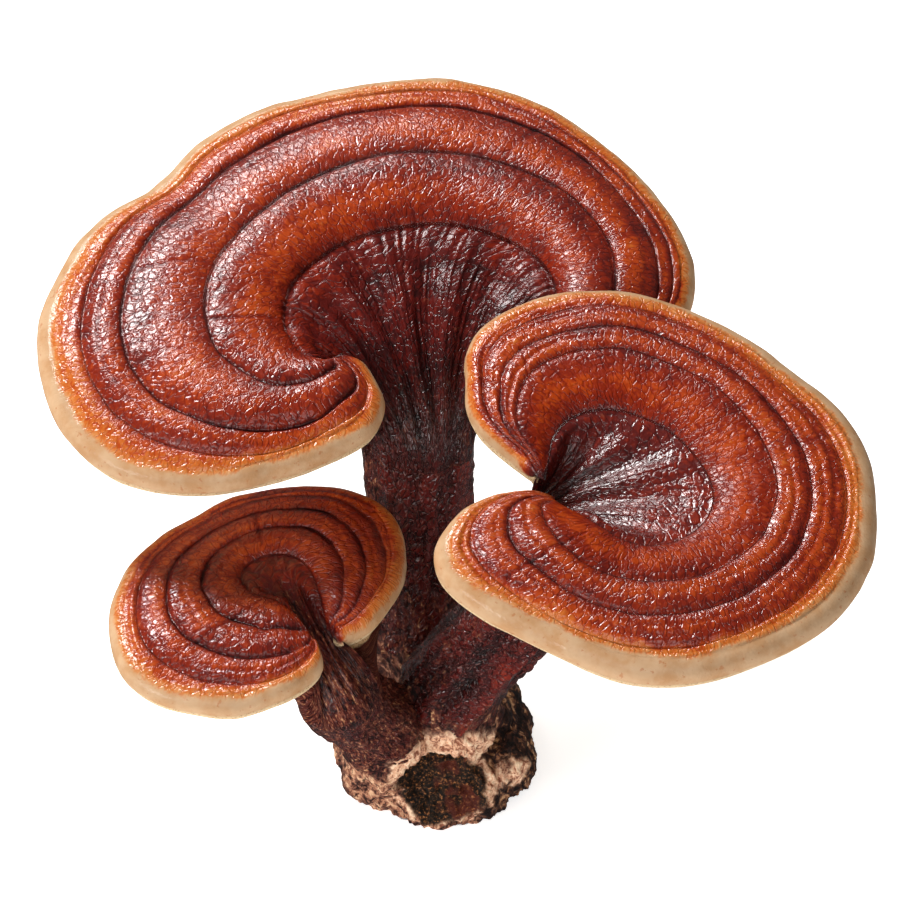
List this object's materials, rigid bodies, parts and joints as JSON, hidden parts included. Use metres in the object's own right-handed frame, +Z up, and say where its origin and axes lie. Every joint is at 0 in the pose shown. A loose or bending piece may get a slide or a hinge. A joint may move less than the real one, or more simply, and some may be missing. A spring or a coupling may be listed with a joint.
{
  "type": "reishi mushroom",
  "caption": "Lacquered bracket mushroom cluster: ringed kidney-shaped caps on side stems that fork from one woody root cut off flat to stand on.",
  "frame": {"origin": "middle of the flat cut under the root", "axes": "+Z up, square to the flat cut; +X to the viewer's right and +Y away from the viewer, with the notches of the caps towards -Y"},
  "size_m": [0.2069, 0.1904, 0.1504],
  "materials": {
    "lacquer": "glossy natural lacquer crust, red-brown with a cream margin",
    "stem_skin": "satin dark maroon bark-like skin",
    "root_skin": "matt fibrous cut wood, tan with dark char"
  },
  "bodies": {
    "root": {"base": "root_skin", "back_stem": "stem_skin", "right_stem": "stem_skin", "left_stem": "stem_skin", "back_cap": "lacquer", "right_cap": "lacquer", "left_cap": "lacquer"}
  },
  "joints": []
}
